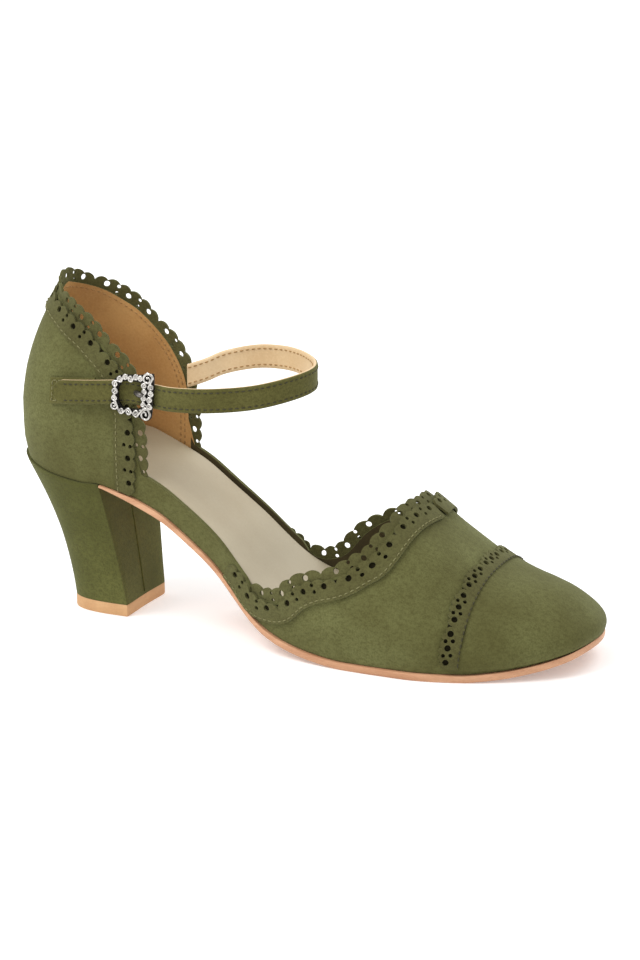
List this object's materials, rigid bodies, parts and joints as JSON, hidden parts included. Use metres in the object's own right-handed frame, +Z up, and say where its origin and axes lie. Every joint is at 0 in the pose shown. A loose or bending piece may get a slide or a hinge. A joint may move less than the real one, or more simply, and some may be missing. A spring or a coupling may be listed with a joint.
{
  "type": "dirndl pump",
  "caption": "Right-foot suede pump with covered block heel, closed quarter and closed toe, open waist, buckled ankle strap and scalloped perforated trim.",
  "frame": {"origin": "centre of the underside of the heel lift, on the ground", "axes": "+X from heel to toe, +Z up, the lateral (buckle) side towards -Y"},
  "size_m": [0.246, 0.0832, 0.1372],
  "materials": {
    "suede": "olive green suede with a fine mottled nap",
    "lace_suede": "olive green suede, punched and scalloped",
    "heel_suede": "olive green suede stretched over the heel",
    "strap_suede": "olive green suede with beige leather lining, edge stitched",
    "lift": "tan, matt",
    "sole_leather": "smooth tan sole leather",
    "insole_leather": "smooth beige lining leather",
    "antique_silver": "antique silver, bright scrolls over black recesses"
  },
  "bodies": {
    "root": {"upper": "suede", "collar_lace": "lace_suede", "vamp_lace_lateral": "lace_suede", "vamp_lace_medial": "lace_suede", "toe_cap": "suede", "heel": "heel_suede", "heel_lift": "lift", "outsole": "sole_leather", "insole": "insole_leather", "ankle_strap": "strap_suede", "strap_tab": "strap_suede", "buckle_frame": "antique_silver", "buckle_prong": "antique_silver"}
  },
  "joints": []
}
